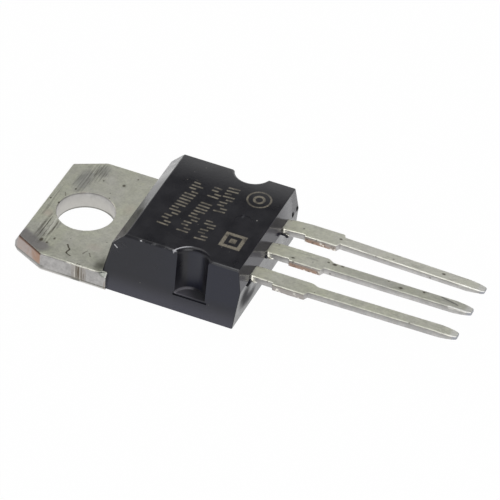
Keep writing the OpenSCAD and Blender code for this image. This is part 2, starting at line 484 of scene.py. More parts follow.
# %% [markdown]
# The hole is punched too: its mouth is rolled over a little on the top and sharper on the back. The cutter is
# a cylinder whose two ends are extruded and widened.

# %% Mounting hole
mouth = 0.06

idle()
bpy.ops.mesh.primitive_cylinder_add(vertices=96, radius=hole_r, depth=tab_t - 2 * mouth, location=(0, 0, tab_t / 2))
punch = bpy.context.object
settle()
with editing(punch):
    for end, flare in ((1, mouth), (-1, mouth / 2)):
        pick_faces(punch, lambda at, normal: normal.z * end > 0.9)
        radius = hole_r
        for turn in (math.radians(25), math.radians(50), math.radians(72)):
            grown = hole_r + flare * (1 - math.cos(turn))
            rise = mouth * (math.sin(turn) - math.sin(turn - math.radians(24)))
            bpy.ops.mesh.extrude_region_move(TRANSFORM_OT_translate={"value": (0, 0, end * rise)})
            bpy.ops.transform.resize(value=(grown / radius, grown / radius, 1), center_override=(0, 0, 0))
            radius = grown
        bpy.ops.mesh.extrude_region_move(TRANSFORM_OT_translate={"value": (0, 0, end * mouth)})
        bpy.ops.transform.resize(value=(1 + 2 * flare / radius,) * 2 + (1,), center_override=(0, 0, 0))
combine(tab, punch, "DIFFERENCE")
print("punched plate has", len(tab.data.polygons), "faces,", open_edges(tab), "open edges")

# %% [markdown]
# ## The leads
#
# A lead is a flat strip of half a millimetre. Near the body it is wide and keeps the stub of the bar that
# joined it to its neighbours until they were cut apart. Past the shoulder it is narrow, and its end is drawn
# to a blunt point. Each lead is extruded from one station to the next: the near and the far outline are
# given apart, and the stations are where either of them turns.

# %% One lead, station by station
lead_z = lead_low.z + 0.03
lead_top = lead_high.z - 0.02
lead_t = lead_top - lead_z
tip_x = tab_high.x
post_x0 = lead_low.x
post_x1 = end_x - 0.55
post_half = 0.95
lead_half = 0.4
stub_from = end_x + 1.48
stub_out = 0.15
stub_to = end_x + 3.66
shoulder_x = end_x + 3.72
tip_run = 1.15
tip_half = 0.2
tip_thin = 0.1
root_from = end_x - 0.22
root_turn = 0.3
root_in = 0.26


def ease(start, end, steps=4):
    """Points of an S-curve from one (x, half width) to the next."""
    points = []
    for step in range(steps + 1):
        part = step / steps
        smooth = part * part * (3 - 2 * part)
        points.append((start[0] + (end[0] - start[0]) * part, start[1] + (end[1] - start[1]) * smooth))
    return points


def blunt_point():
    """Half widths of a lead's end, drawn in on a quarter of an ellipse."""
    turns = [math.radians(angle) for angle in (0, 25, 45, 62, 76)]
    return [(tip_x - tip_run * (1 - math.sin(turn)), tip_half + (lead_half - tip_half) * math.cos(turn)) for turn in turns]


def rounded_root():
    """Near half widths where the strip curves in as it enters the moulding."""
    points = [(root_from - root_turn, root_half), (root_from - root_turn + 0.01, root_half - root_in)]
    for angle in (0, 30, 55, 75, 90):
        turn = math.radians(angle)
        points.append((root_from + root_turn * (1 - math.cos(turn)), root_half - root_in * (1 - math.sin(turn))))
    return points


def width_at(outline, x):
    """Half width on an outline, straight between its points."""
    for (x0, w0), (x1, w1) in zip(outline, outline[1:]):
        if x <= x1:
            return w0 + (w1 - w0) * max(0, x - x0) / max(x1 - x0, 1e-6)
    return outline[-1][1]


def extrude_lead(name, row, start_x):
    """A lead from start_x to its tip: row is -1, 0 or 1, counted across the package."""
    y0, lean, shoulder_run = row * pitch, leans[row], shoulder_runs[row]
    wide_far = root_half + far_swell[row]
    point = blunt_point() + [(tip_x, tip_half)]
    near = [(start_x, root_half)] + rounded_root() + [(stub_from, root_half), (stub_from + stub_out / 2, root_half + stub_out)]
    near += [(stub_to, root_half + stub_out), (stub_to + stub_out, lead_half)] + point
    far = [(start_x, root_half)] + ease((end_x + 0.05, root_half), (end_x + 0.5, wide_far), 3)
    far += ease((shoulder_x, wide_far), (shoulder_x + shoulder_run, lead_half)) + point
    stations = sorted({round(x, 4) for x, w in near + far})

    def section(x):
        """Nearest y, furthest y, lowest z and highest z of the strip at x."""
        reach = max(0, x - shoulder_x) / (tip_x - shoulder_x)
        thin = tip_thin * max(0, x - (tip_x - tip_run)) / tip_run
        shift = y0 + lean * reach + bows[row] * (1 - reach) * min(1, max(0, x - end_x - 0.3))
        return shift - width_at(near, x), shift + width_at(far, x), lead_z + thin + lifts[row] * reach, lead_top - thin

    low_y, high_y, low_z, high_z = section(start_x)
    strip = block(name, (start_x, low_y, low_z), (stations[1], high_y, high_z))
    with editing(strip):
        pick_faces(strip, lambda at, normal: normal.x > 0.9)
        for x0, x1 in zip(stations[1:], stations[2:]):
            new_low_y, new_high_y, new_low_z, new_high_z = section(x1)
            bpy.ops.mesh.extrude_region_move(TRANSFORM_OT_translate={"value": (x1 - x0, 0, 0)})
            wide = (new_high_y - new_low_y) / (high_y - low_y)
            thick = (new_high_z - new_low_z) / (high_z - low_z)
            middle = (x1, (low_y + high_y) / 2, (low_z + high_z) / 2)
            bpy.ops.transform.resize(value=(1, wide, thick), center_override=middle)
            shift = ((new_low_y + new_high_y) - (low_y + high_y)) / 2
            bpy.ops.transform.translate(value=(0, shift, 0))
            low_y, high_y, low_z, high_z = new_low_y, new_high_y, new_low_z, new_high_z
    return strip


lead_roll_r = 0.08
lead_burr_r = 0.05


def break_lead_edges(strip):
    """Roll the long edges on top, break those below and those of the sheared end."""
    outside = end_x - 0.3
    round_edges(
        strip, lead_roll_r,
        lambda at, along, bend: bend > 50 and at.x > outside and at.z > parting_z + 0.1 and abs(along.x) > 0.3,
    )
    round_edges(
        strip, lead_burr_r,
        lambda at, along, bend: bend > 50 and at.x > outside and at.z < parting_z - 0.1 and abs(along.x) > 0.3, 2,
    )
    round_edges(strip, 0.07, lambda at, along, bend: bend > 40 and at.x > tip_x - 0.01, 2)


def roughen(obj, test, cuts, depth, seed):
    """Cut some faces up and shake their corners in and out."""
    with editing(obj):
        pick_faces(obj, test)
        bpy.ops.mesh.subdivide(number_cuts=cuts)
        bpy.ops.transform.vertex_random(offset=depth, normal=1, seed=seed)


def dress_root(strip, row):
    """Tear the stub's sheared face and give the near root its two beads of tin."""
    near = row * pitch - root_half
    roughen(
        strip,
        lambda at, normal: normal.y < -0.9 and stub_from < at.x < stub_to + 0.05 and at.y < near - stub_out + 0.03,
        5, 0.022, 11 + row,
    )
    combine(strip, bead((end_x + 0.06, near + 0.08, parting_z + 0.01), (0.17, 0.14, 0.24), 3), "UNION")
    combine(strip, bead((end_x + 0.26, near + 0.03, lead_z + 0.05), (0.24, 0.09, 0.08), 3), "UNION")


shoulder_runs = {-1: 0.55, 0: 0.5, 1: 0.2}
leans = {-1: 0.15, 0: 0.13, 1: -0.15}
bows = {-1: -0.03, 0: 0.03, 1: 0.11}
far_swell = {-1: 0.04, 0: 0.1, 1: 0.1}
lifts = {-1: 0.02, 0: 0.03, 1: 0.09}
middle_lead = extrude_lead("middle lead", 0, post_x1 - 0.1)
break_lead_edges(middle_lead)
dress_root(middle_lead, 0)
print("middle lead has", len(middle_lead.data.polygons), "faces,", open_edges(middle_lead), "open edges")

# %% [markdown]
# Inside the body the tab narrows to the header, whose upper half is a little wider so that the compound
# locks under it, and a tongue climbs from the header to the middle lead. Plain blocks joined by booleans are
# enough here, since only the header's back shows.

# %% Header, tongue and middle lead
header_x = end_x - 2.82
pad_half = half_tab - 1.1
lock_out = 0.35
lock_z = 0.6
tongue_run = 1.3
tongue_half = 0.75

header = block("header", (neck_x - 0.1, -pad_half, 0), (header_x, pad_half, tab_t))
round_edges(header, burr_r, lambda at, along, bend: at.z < 0.01 and at.x > neck_x, 2)
lock = block("lock", (neck_x - 0.1, -pad_half - lock_out, lock_z), (header_x, pad_half + lock_out, tab_t))
climb = lead_top - tab_t
climb_angle = math.atan2(climb, tongue_run)
inset = lead_t * math.tan(climb_angle / 2)
tongue = block(
    "tongue", (header_x - lead_t - inset, -tongue_half, tab_t - lead_t), (header_x + tongue_run, tongue_half, lead_top),
)
rise = Vector((-math.sin(climb_angle), 0, math.cos(climb_angle)))
slice_off(tongue, (header_x - inset, 0, tab_t), rise)
slice_off(tongue, (header_x, 0, tab_t - lead_t), -rise)
level = block("level", (header_x + tongue_run - inset, -tongue_half, lead_z), (post_x1, tongue_half, lead_top))
for part in (header, lock, tongue, level, middle_lead):
    combine(tab, part, "UNION")
print("tab has", len(tab.data.polygons), "faces,", open_edges(tab), "open edges")

# %% [markdown]
# The outer leads start in the body with a wide flat post that takes the bond wire. They lean in a little
# towards the middle lead, as leads do once the part has been handled.

# %% Outer leads
outer_leads = {}
for side, node in ((-1, "input_lead"), (1, "output_lead")):
    strip = extrude_lead(node + "_strip", side, post_x1 - 0.1)
    break_lead_edges(strip)
    dress_root(strip, side)
    post = block("post", (post_x0, side * pitch - post_half, lead_z), (post_x1, side * pitch + post_half, lead_top))
    combine(strip, post, "UNION")
    outer_leads[node] = strip
    print(strip.name, len(strip.data.polygons), "faces,", open_edges(strip), "open edges")

# %% Put the pieces in their nodes' places
finish_piece(body, "moulded_body")
finish_piece(tab, "heatsink_tab")
for node, strip in outer_leads.items():
    finish_piece(strip, node)

# %% [markdown]
# ## Finishes
#
# Every finish is a node tree, and a tree soon holds dozens of nodes. Writing each node and link out would bury
# the idea, so a small class keeps one tree and offers the few moves that fill it: add a node, feed an input
# with a link or a plain value, do a sum, and lay one colour over another through a mask.

# %% A node tree and the moves that fill it
class Wiring:
    """One node tree, filled from left to right."""

    def __init__(self, tree):
        self.tree = tree

    def feed(self, socket, source):
        """Give an input a link, or a plain value."""
        if isinstance(source, bpy.types.NodeSocket):
            self.tree.links.new(source, socket)
        elif socket.type == "RGBA":
            socket.default_value = (*source, 1)
        else:
            socket.default_value = source

    def add(self, kind, feeds=(), **settings):
        """Add a node, set its properties and feed its inputs, which are named or numbered."""
        node = self.tree.nodes.new("ShaderNode" + kind)
        for name, value in settings.items():
            setattr(node, name, value)
        for key, source in dict(feeds).items():
            self.feed(node.inputs[key], source)
        return node

    def sum(self, operation, *sources, clamp=False):
        """One math node on up to three numbers."""
        return self.add("Math", enumerate(sources), operation=operation, use_clamp=clamp).outputs[0]

    def vector(self, operation, *sources):
        """One vector math node: its vector output, or its number where it gives one."""
        node = self.add("VectorMath", operation=operation)
        for place, source in enumerate(sources):
            self.feed(node.inputs["Scale" if operation == "SCALE" and place else place], source)
        return node.outputs["Value" if operation in ("DOT_PRODUCT", "LENGTH", "DISTANCE") else "Vector"]

    def ramp(self, value, low, high, start=0.0, end=1.0, smooth=True):
        """Map low..high to start..end, held beyond both ends."""
        feeds = {"Value": value, "From Min": low, "From Max": high, "To Min": start, "To Max": end}
        kind = "SMOOTHSTEP" if smooth else "LINEAR"
        return self.add("MapRange", feeds, interpolation_type=kind).outputs["Result"]

    def lay(self, under, over, mask, blend="MIX"):
        """Lay one colour over another through a mask."""
        feeds = {0: mask, 6: under, 7: over}
        return self.add("Mix", feeds, data_type="RGBA", blend_type=blend).outputs[2]

    def strongest(self, *masks):
        """The largest of several masks."""
        mask = masks[0]
        for other in masks[1:]:
            mask = self.sum("MAXIMUM", mask, other)
        return mask

    def product(self, *masks):
        """Several masks multiplied."""
        mask = masks[0]
        for other in masks[1:]:
            mask = self.sum("MULTIPLY", mask, other)
        return mask

    def use(self, group, **feeds):
        """Place a node group and feed its named inputs. Gives its outputs by name."""
        node = self.add("Group", node_tree=group)
        for key, source in feeds.items():
            self.feed(node.inputs[key], source)
        return node.outputs


def new_group(name, inputs, outputs):
    """An empty node group with named sockets: its wiring, what comes in and what goes out."""
    tree = bpy.data.node_groups.new(name, "ShaderNodeTree")
    for socket, value in inputs.items():
        kind = "NodeSocketVector" if isinstance(value, tuple) else "NodeSocketFloat"
        tree.interface.new_socket(socket, in_out="INPUT", socket_type=kind).default_value = value
    for socket, kind in outputs.items():
        tree.interface.new_socket(socket, in_out="OUTPUT", socket_type="NodeSocket" + kind)
    wiring = Wiring(tree)
    return wiring, tree.nodes.new("NodeGroupInput").outputs, tree.nodes.new("NodeGroupOutput").inputs


def new_material(name):
    """An empty material, its wiring and its surface socket."""
    material = bpy.data.materials.new(name)
    material.use_nodes = True
    material.node_tree.nodes.clear()
    wiring = Wiring(material.node_tree)
    return material, wiring, wiring.add("OutputMaterial").inputs["Surface"]

# %% [markdown]
# The marks on this part are placed in millimetres from the centre of its hole, so the first group turns Object
# coordinates, which are metres, into millimetres. The next ones draw single marks there: a ragged soft spot,
# and a scratch from one point to another that wavers a little.

# %% Groups for places, spots and scratches
wire, given, result = new_group("millimetres", {}, {"Place": "Vector"})
in_metres = wire.add("TexCoord").outputs["Object"]
wire.feed(result["Place"], wire.vector("SCALE", in_metres, 1 / MM))
millimetres = wire.tree

wire, given, result = new_group(
    "spot",
    {"Place": (0, 0, 0), "Centre": (0, 0, 0), "Radii": (1, 1, 1), "Softness": 0.5, "Ragged": 0.2},
    {"Mask": "Float"},
)
noise = wire.add("TexNoise", {"Vector": given["Place"], "Scale": 2.6, "Detail": 3}).outputs["Fac"]
reach = wire.vector("DIVIDE", wire.vector("SUBTRACT", given["Place"], given["Centre"]), given["Radii"])
uneven = wire.sum("MULTIPLY", wire.sum("SUBTRACT", noise, 0.5), wire.sum("MULTIPLY", given["Ragged"], 4))
distance = wire.sum("ADD", wire.vector("LENGTH", reach), uneven)
core = wire.sum("SUBTRACT", 1, given["Softness"])
wire.feed(result["Mask"], wire.ramp(distance, 1, core))
spot = wire.tree

wire, given, result = new_group(
    "scratch",
    {"Place": (0, 0, 0), "From": (0, 0, 0), "To": (1, 0, 0), "Width": 0.06, "Waver": 0.04},
    {"Mask": "Float"},
)
noise = wire.add("TexNoise", {"Vector": given["Place"], "Scale": 3.5, "Detail": 2}).outputs["Color"]
drift = wire.vector("SCALE", wire.vector("SUBTRACT", noise, (0.5, 0.5, 0.5)), wire.sum("MULTIPLY", given["Waver"], 4))
offset = wire.vector("SUBTRACT", wire.vector("ADD", given["Place"], drift), given["From"])
line = wire.vector("SUBTRACT", given["To"], given["From"])
along = wire.sum("DIVIDE", wire.vector("DOT_PRODUCT", offset, line), wire.vector("DOT_PRODUCT", line, line), clamp=True)
distance = wire.vector("DISTANCE", offset, wire.vector("SCALE", line, along))
wire.feed(result["Mask"], wire.ramp(distance, given["Width"], wire.sum("MULTIPLY", given["Width"], 0.4)))
scratch = wire.tree
print("groups:", [group.name for group in bpy.data.node_groups])

# %% [markdown]
# A part that has lain loose in a box is rubbed in patches: dozens of fine parallel lines, some dark and some
# bright. Noise that is stretched a long way along the rub gives such lines, and a spot keeps them to their patch.
# Pits and specks come from Voronoi cells, of which only a share is used.

# %% Groups for rubbed patches, pits and mottling
wire, given, result = new_group(
    "rubbed",
    {
        "Place": (0, 0, 0), "Centre": (0, 0, 0), "Radii": (1, 1, 1), "Along": (0, 1, 0), "Across": (1, 0, 0),
        "Fineness": 6.0, "Stretch": 30.0,
    },
    {"Dark": "Float", "Light": "Float"},
)
along = wire.vector("DOT_PRODUCT", given["Place"], given["Along"])
across = wire.vector("DOT_PRODUCT", given["Place"], given["Across"])
lines = wire.add("CombineXYZ", {
    "X": wire.sum("MULTIPLY", across, given["Fineness"]),
    "Y": wire.sum("DIVIDE", wire.sum("MULTIPLY", along, given["Fineness"]), given["Stretch"]),
}).outputs[0]
noise = wire.add("TexNoise", {"Vector": lines, "Scale": 1, "Detail": 2, "Roughness": 0.6}).outputs["Fac"]
patch = wire.use(
    spot, Place=given["Place"], Centre=given["Centre"], Radii=given["Radii"], Softness=0.6, Ragged=0.25,
)["Mask"]
wire.feed(result["Dark"], wire.product(patch, wire.ramp(noise, 0.52, 0.4)))
wire.feed(result["Light"], wire.product(patch, wire.ramp(noise, 0.56, 0.66)))
rubbed = wire.tree

wire, given, result = new_group(
    "pits",
    {"Place": (0, 0, 0), "Per mm": 1.0, "Size": 0.08, "Share": 0.3},
    {"Mask": "Float"},
)
cells = wire.add("TexVoronoi", {"Vector": given["Place"], "Scale": given["Per mm"]})
chosen = wire.sum("LESS_THAN", wire.add("SeparateXYZ", {0: cells.outputs["Color"]}).outputs[0], given["Share"])
size = wire.sum("MULTIPLY", given["Size"], given["Per mm"])
near = wire.ramp(cells.outputs["Distance"], size, wire.sum("MULTIPLY", size, 0.5))
wire.feed(result["Mask"], wire.product(near, chosen))
pits = wire.tree

wire, given, result = new_group(
    "mottling", {"Place": (0, 0, 0), "Cloud per mm": 0.5, "Grain per mm": 9.0}, {"Cloud": "Float", "Grain": "Float"},
)
cloud = wire.add("TexNoise", {
    "Vector": given["Place"], "Scale": given["Cloud per mm"], "Detail": 5, "Roughness": 0.62, "Distortion": 0.4,
})
grain = wire.add("TexNoise", {"Vector": given["Place"], "Scale": given["Grain per mm"], "Detail": 2})
wire.feed(result["Cloud"], wire.ramp(cloud.outputs["Fac"], 0.3, 0.7, smooth=False))
wire.feed(result["Grain"], grain.outputs["Fac"])
mottling = wire.tree

# %% [markdown]
# ### Tinned copper
#
# The tin is dull and mottled: greenish where it is thick, a little lavender where it is thin. Where the tool
# sheared the strip after plating, the copper shows through in pink. Long rubs, dark stains and pits sit where
# the real part has them. Shadows beside the moulding, at the foot of the hole and along the near side, and
# highlights along the rolled edges and at the lead roots and tips, are painted into the colour too. One material
# serves the tab and all three leads, since they are one metal.

# %% Tinned copper: the plating itself
tin, wire, surface = new_material("tinned copper")
place = wire.use(millimetres)["Place"]
x, y, z = wire.add("SeparateXYZ", {0: place}).outputs
normal = wire.add("NewGeometry").outputs["Normal"]
face_x_way, face_y_way, face_z_way = wire.add("SeparateXYZ", {0: normal}).outputs
up = wire.ramp(face_z_way, 0.6, 0.9)

plating = wire.use(mottling, Place=place, **{"Cloud per mm": 0.42, "Grain per mm": 7.0})
blotch = wire.use(mottling, Place=wire.vector("ADD", place, (31, 7, 0)), **{"Cloud per mm": 1.5, "Grain per mm": 2.6})
tin_green = (0.575, 0.585, 0.465)
tin_lavender = (0.57, 0.565, 0.51)
tin_side = (0.475, 0.465, 0.455)
colour = wire.lay(tin_green, tin_lavender, plating["Cloud"])
colour = wire.lay(tin_side, colour, up)
shade = wire.sum("ADD", wire.ramp(blotch["Cloud"], 0, 1, 0.9, 1.07), wire.ramp(plating["Grain"], 0.3, 0.7, -0.06, 0.06))
shade = wire.sum("ADD", shade, wire.ramp(blotch["Grain"], 0.35, 0.65, -0.05, 0.05))
shade = wire.sum("ADD", shade, wire.ramp(y, -4.5, -1.5, -0.12, 0.03))
outside = wire.ramp(x, end_x, end_x + 0.05)
shade = wire.sum("ADD", shade, wire.sum("MULTIPLY", outside, 0.08))
shade = wire.sum("ADD", shade, wire.sum("MULTIPLY", wire.product(outside, wire.ramp(y, -1.6, -1.9), wire.ramp(x, 13.5, 15)), -0.07))
colour = wire.lay(colour, wire.add("CombineXYZ", {0: shade, 1: shade, 2: shade}).outputs[0], 1, "MULTIPLY")
roughness = wire.ramp(blotch["Cloud"], 0, 1, 0.46, 0.38)
height = wire.sum("ADD", plating["Grain"], blotch["Grain"])

# %% Tinned copper: stains, tints and painted shadows on the tab
def paint_stain_and_light(over, mask, amount=1.0):
    """Lay a colour over the colour so far through a mask; it paints stains, and painted highlights and shadows too."""
    global colour
    colour = wire.lay(colour, over, wire.sum("MULTIPLY", mask, amount))


def spot_at(centre, radii, softness=0.5, ragged=0.2):
    return wire.use(spot, Place=place, Centre=centre, Radii=radii, Softness=softness, Ragged=ragged)["Mask"]


dark_tin = (0.16, 0.16, 0.14)
grey_tin = (0.3, 0.3, 0.29)
purple_tin = (0.21, 0.195, 0.21)
warm_tin = (0.6, 0.5, 0.44)
paint_stain_and_light(grey_tin, wire.product(wire.ramp(x, -0.9, -2.9), up, wire.ramp(plating["Cloud"], 0.1, 0.7, 0.5, 1)), 0.18)
for centre, radii, over, softness, amount in (
    ((-1.7, -3.3), (0.6, 0.8), purple_tin, 0.8, 0.4),
    ((-1.45, 2.8), (0.75, 1.6), grey_tin, 0.7, 0.7), ((-0.7, 4.1), (0.7, 0.9), grey_tin, 0.7, 0.6),
    # The two dark spots at x 2.9 to 3.15 beside the moulding are painted shadow of the body on the tab, with some dark
    # staining in it.
    ((3.15, -4.45), (0.6, 1.0), (0.09, 0.09, 0.07), 0.95, 0.9), ((2.9, -4.1), (0.8, 1.2), dark_tin, 0.95, 0.35),
    ((-2.1, -1.2), (0.5, 0.5), warm_tin, 0.9, 0.45), ((-0.95, 1.4), (0.4, 0.5), warm_tin, 0.9, 0.3),
    ((2.0, -3.0), (0.8, 0.6), warm_tin, 0.9, 0.25), ((2.4, 1.4), (0.6, 0.8), warm_tin, 0.9, 0.25),
):
    paint_stain_and_light(over, spot_at((*centre, tab_t), (*radii, 0.2), softness, 0.15), amount)
smear = wire.strongest(*(
    wire.use(scratch, Place=place, From=(*start, tab_t), To=(*end, tab_t), Width=0.72, Waver=0.06)["Mask"]
    for start, end in (((-2.75, -3.71), (-1.7, -4.25)), ((-1.7, -4.25), (-1.1, -4.4)))
))
paint_stain_and_light(purple_tin, smear, 0.75)
paint_stain_and_light((0.3, 0.29, 0.28), spot_at((-0.7, -4.35, tab_t), (0.7, 0.35, 0.2), 0.9, 0.15), 0.5)
hole_out = wire.vector("LENGTH", wire.vector("MULTIPLY", place, (1, 1, 0)))
hole_wall = wire.product(wire.ramp(hole_out, hole_r + 0.2, hole_r + 0.1), wire.ramp(face_z_way, 0.99, 0.8))
paint_stain_and_light((0.56, 0.545, 0.51), wire.product(hole_wall, wire.ramp(z, tab_t, tab_t - 0.7, 0.2, 1)), 0.8)
# Painted shadow: the hole's wall is darkened at its foot, up to 0.11 mm high on the left and 0.26 mm on the right.
painted_shadow_top = wire.ramp(x, 0.3, 1.6, 0.11, 0.26)
paint_stain_and_light(dark_tin, wire.product(hole_wall, wire.ramp(wire.sum("SUBTRACT", z, painted_shadow_top), 0.04, -0.02)), 0.8)
mouth_band = wire.product(hole_wall, wire.ramp(z, tab_t - 0.16, tab_t - 0.06))
roughness = wire.sum("ADD", roughness, wire.sum("MULTIPLY", mouth_band, 0.4))

# %% Tinned copper: rubs, scratches and specks on the tab
rubs = (
    ((-1.5, -2.6, tab_t), (0.8, 1.8, 0.2), (0, 1, 0), 0.65, 8.5), ((-0.95, 3.7, tab_t), (0.95, 1.5, 0.2), (0, 1, 0), 0.42, 10.0),
    ((-1.5, 2.6, tab_t), (0.8, 1.5, 0.2), (0, 1, 0), 0.3, 9.0), ((1.92, -5.1, 0.66), (0.62, 0.3, 1.1), (0, 0, 1), 1.0, 11.5),
    ((-2.4, 0.2, tab_t), (0.25, 2.2, 0.2), (0, 1, 0), 0.4, 9.0),
)
scuff_brown = (0.085, 0.075, 0.055)
for centre, radii, along, amount, fineness in rubs:
    rub = wire.use(
        rubbed, Place=place, Centre=centre, Radii=radii, Along=along, Fineness=fineness,
    )
    paint_stain_and_light(scuff_brown, rub["Dark"], amount)
    paint_stain_and_light((0.82, 0.81, 0.74), rub["Light"], amount * 0.8)

dark_spots = (
    (-1.33, -3.8, 0.15), (-0.63, -3.35, 0.12), (-0.89, -3.92, 0.09), (1.09, 3.43, 0.12), (-1.94, 0.03, 0.1),
    (-2.6, 0.22, 0.07), (0.78, 1.86, 0.06), (0.62, 2.33, 0.05), (-1.55, 1.75, 0.08), (-0.3, 3.3, 0.07),
    (1.66, 4.4, 0.1), (2.5, -2.2, 0.05), (0.3, -2.9, 0.05),
)
for spot_x, spot_y, radius in dark_spots:
    paint_stain_and_light(scuff_brown, spot_at((spot_x, spot_y, tab_t), (radius, radius * 1.4, 0.1), 0.7, 0.3), 0.9)

scratches = (
    ((0.36, -3.52), (0.66, -3.86), 0.075, 0.95), ((0.66, -3.86), (0.62, -4.3), 0.075, 0.95),
    ((0.62, -4.3), (0.98, -4.42), 0.07, 0.9), ((1.62, -3.89), (1.74, -3.52), 0.06, 0.6), ((1.95, -3.66), (2.18, -3.97), 0.06, 0.6),
    ((-2.0, 1.16), (-1.87, 0.83), 0.06, 0.85), ((-1.05, 3.4), (-1.02, 4.5), 0.05, 0.7), ((-0.73, 3.6), (-0.7, 4.8), 0.045, 0.6),
    ((-1.7, -3.3), (-1.68, -1.6), 0.05, 0.8), ((-1.41, -3.4), (-1.4, -1.9), 0.05, 0.8), ((-1.12, -3.1), (-1.1, -1.7), 0.045, 0.7),
)
for start, end, width, amount in scratches:
    mask = wire.use(scratch, Place=place, From=(*start, tab_t), To=(*end, tab_t), Width=width, Waver=0.03)["Mask"]
    paint_stain_and_light(scuff_brown, mask, amount * (0.65 if start[0] < -0.4 else 1))
    height = wire.sum("SUBTRACT", height, mask)

# %% Tinned copper: bare copper on sheared faces
copper = (0.38, 0.235, 0.165)
pale_copper = (0.43, 0.37, 0.345)
cut_line = wire.product(wire.ramp(x, -0.5, -0.75), wire.ramp(wire.sum("ABSOLUTE", y), 3.9, 4.1), wire.ramp(x, -2.95, -2.8))
cut_face = wire.product(wire.ramp(face_x_way, -0.2, -0.35), wire.ramp(wire.sum("ABSOLUTE", face_y_way), 0.45, 0.6))
cut_face = wire.product(cut_face, cut_line, wire.ramp(face_z_way, 0.6, 0.3), wire.ramp(z, 0.3, 0.4))
redder = wire.sum("ADD", wire.ramp(x, -1.9, -1.0), wire.ramp(blotch["Grain"], 0.3, 0.7, -0.35, 0.35), clamp=True)
paint_stain_and_light(pale_copper, cut_face, 0.9)
paint_stain_and_light(copper, wire.product(cut_face, redder), 0.85)
lip = wire.product(wire.ramp(z, tab_t - 0.2, tab_t - 0.08), wire.ramp(face_x_way, -0.12, -0.25), cut_line)
paint_stain_and_light((0.15, 0.085, 0.055), lip, 0.85)
groove = wire.product(
    wire.ramp(wire.sum("ABSOLUTE", wire.sum("SUBTRACT", z, 0.3)), 0.09, 0.03), wire.ramp(face_z_way, 0.4, 0.2),
    wire.ramp(x, -0.4, -0.7), wire.ramp(x, -3.2, -2.9), wire.ramp(hole_out, 2.3, 2.5),
)
paint_stain_and_light(dark_tin, groove, 0.6)

# %% Tinned copper: the tab's near side
side_y_way = wire.product(wire.ramp(face_y_way, -0.6, -0.8), wire.ramp(y, -half_tab + 0.15, -half_tab + 0.1))
# A painted shadow line along the near side of the tab, 0.17 mm above its bottom edge, fainter towards the left and
# broken by the grain.
painted_shadow_line = wire.ramp(wire.sum("ABSOLUTE", wire.sum("SUBTRACT", z, 0.17)), 0.08, 0.03)
painted_shadow_line = wire.product(painted_shadow_line, side_y_way, wire.ramp(x, -0.3, 1.2, 0.35, 1), wire.ramp(plating["Grain"], 0.3, 0.5, 0.5, 1))
paint_stain_and_light(dark_tin, painted_shadow_line, 0.8)
paint_stain_and_light((0.62, 0.6, 0.57), wire.product(side_y_way, wire.ramp(z, 0.13, 0.08)), 0.7)
rubbed_side = wire.product(side_y_way, wire.ramp(x, 1.3, 1.45), wire.ramp(x, 2.45, 2.3), wire.ramp(z, 0.12, 0.2))
paint_stain_and_light((0.24, 0.2, 0.16), rubbed_side, 0.35)
for streak_x in (3.66, 3.8):
    streak = wire.use(
        scratch, Place=place, From=(streak_x, -half_tab, 0.1), To=(streak_x + 0.03, -half_tab, 0.65), Width=0.07, Waver=0.02,
    )["Mask"]
    paint_stain_and_light((0.24, 0.17, 0.12), streak, 0.4)
paint_stain_and_light((0.2, 0.21, 0.19), wire.product(spot_at((3.55, -half_tab, tab_t), (0.4, 0.35, 0.4), 0.5, 0.1), wire.ramp(x, 3.2, 3.3)), 0.85)
# Painted highlight: the rolled near top edge of the tab is laid in cream between x 0.9 and 3.25, in patches.
bright = wire.product(
    wire.ramp(face_y_way, -0.15, -0.4), wire.ramp(face_z_way, 0.2, 0.45), wire.ramp(x, 0.9, 1.15), wire.ramp(x, 3.25, 3.1),
)
paint_stain_and_light((0.97, 0.95, 0.86), wire.product(bright, wire.ramp(blotch["Cloud"], 0.2, 0.5, 0.25, 1)), 0.9)
# Painted shadow at the foot of the hole's right wall: everything below 0.2 mm between x 1.2 and 2.0 is darkened, the
# foot of the tab's near side there included.
painted_hole_foot_shadow = wire.product(wire.ramp(z, 0.2, 0.1), wire.ramp(x, 1.2, 1.6), wire.ramp(x, 2.0, 1.95))
paint_stain_and_light(dark_tin, painted_hole_foot_shadow, 0.8)

# %% Tinned copper: the leads
stub = wire.product(
    wire.ramp(face_y_way, -0.4, -0.7), wire.ramp(x, stub_from, stub_from + 0.15), wire.ramp(x, stub_to + 0.12, stub_to - 0.02),
)
stub_copper = wire.product(stub, wire.ramp(y, -1.9, -1.7), wire.ramp(z, lead_top - 0.06, lead_top - 0.16))
paint_stain_and_light(pale_copper, stub, 0.5)
paint_stain_and_light(copper, wire.product(stub_copper, wire.ramp(blotch["Grain"], 0.35, 0.5, 0.35, 1)), 0.8)
paint_stain_and_light(scuff_brown, wire.product(stub_copper, wire.ramp(plating["Grain"], 0.56, 0.66)), 0.75)
burrs = wire.use(pits, Place=place, **{"Per mm": 4.0, "Size": 0.12, "Share": 0.45})["Mask"]
paint_stain_and_light((0.93, 0.91, 0.84), wire.product(stub, burrs), 0.85)

edge_up = wire.product(wire.ramp(face_y_way, -0.2, -0.45), wire.ramp(face_z_way, 0.25, 0.5), outside)
# Near the tips: a dark streak on the middle lead, and two white lines that are painted highlights on the rolled near
# edges of the middle and the output lead.
for start, end, up_by, width, over in (
    ((24.2, 0.36), (25.3, 0.12), 0, 0.09, dark_tin), ((24.9, -0.26), (25.95, -0.2), -0.04, 0.15, (0.99, 0.98, 0.94)),
    ((24.7, 2.0), (25.95, 2.06), -0.04, 0.15, (0.99, 0.98, 0.94)),
):
    start, end = (*start, lead_top + up_by), (*end, lead_top + up_by)
    mask = wire.use(scratch, Place=place, From=start, To=end, Width=width, Waver=0.02)["Mask"]
    paint_stain_and_light(over, mask, 0.85)
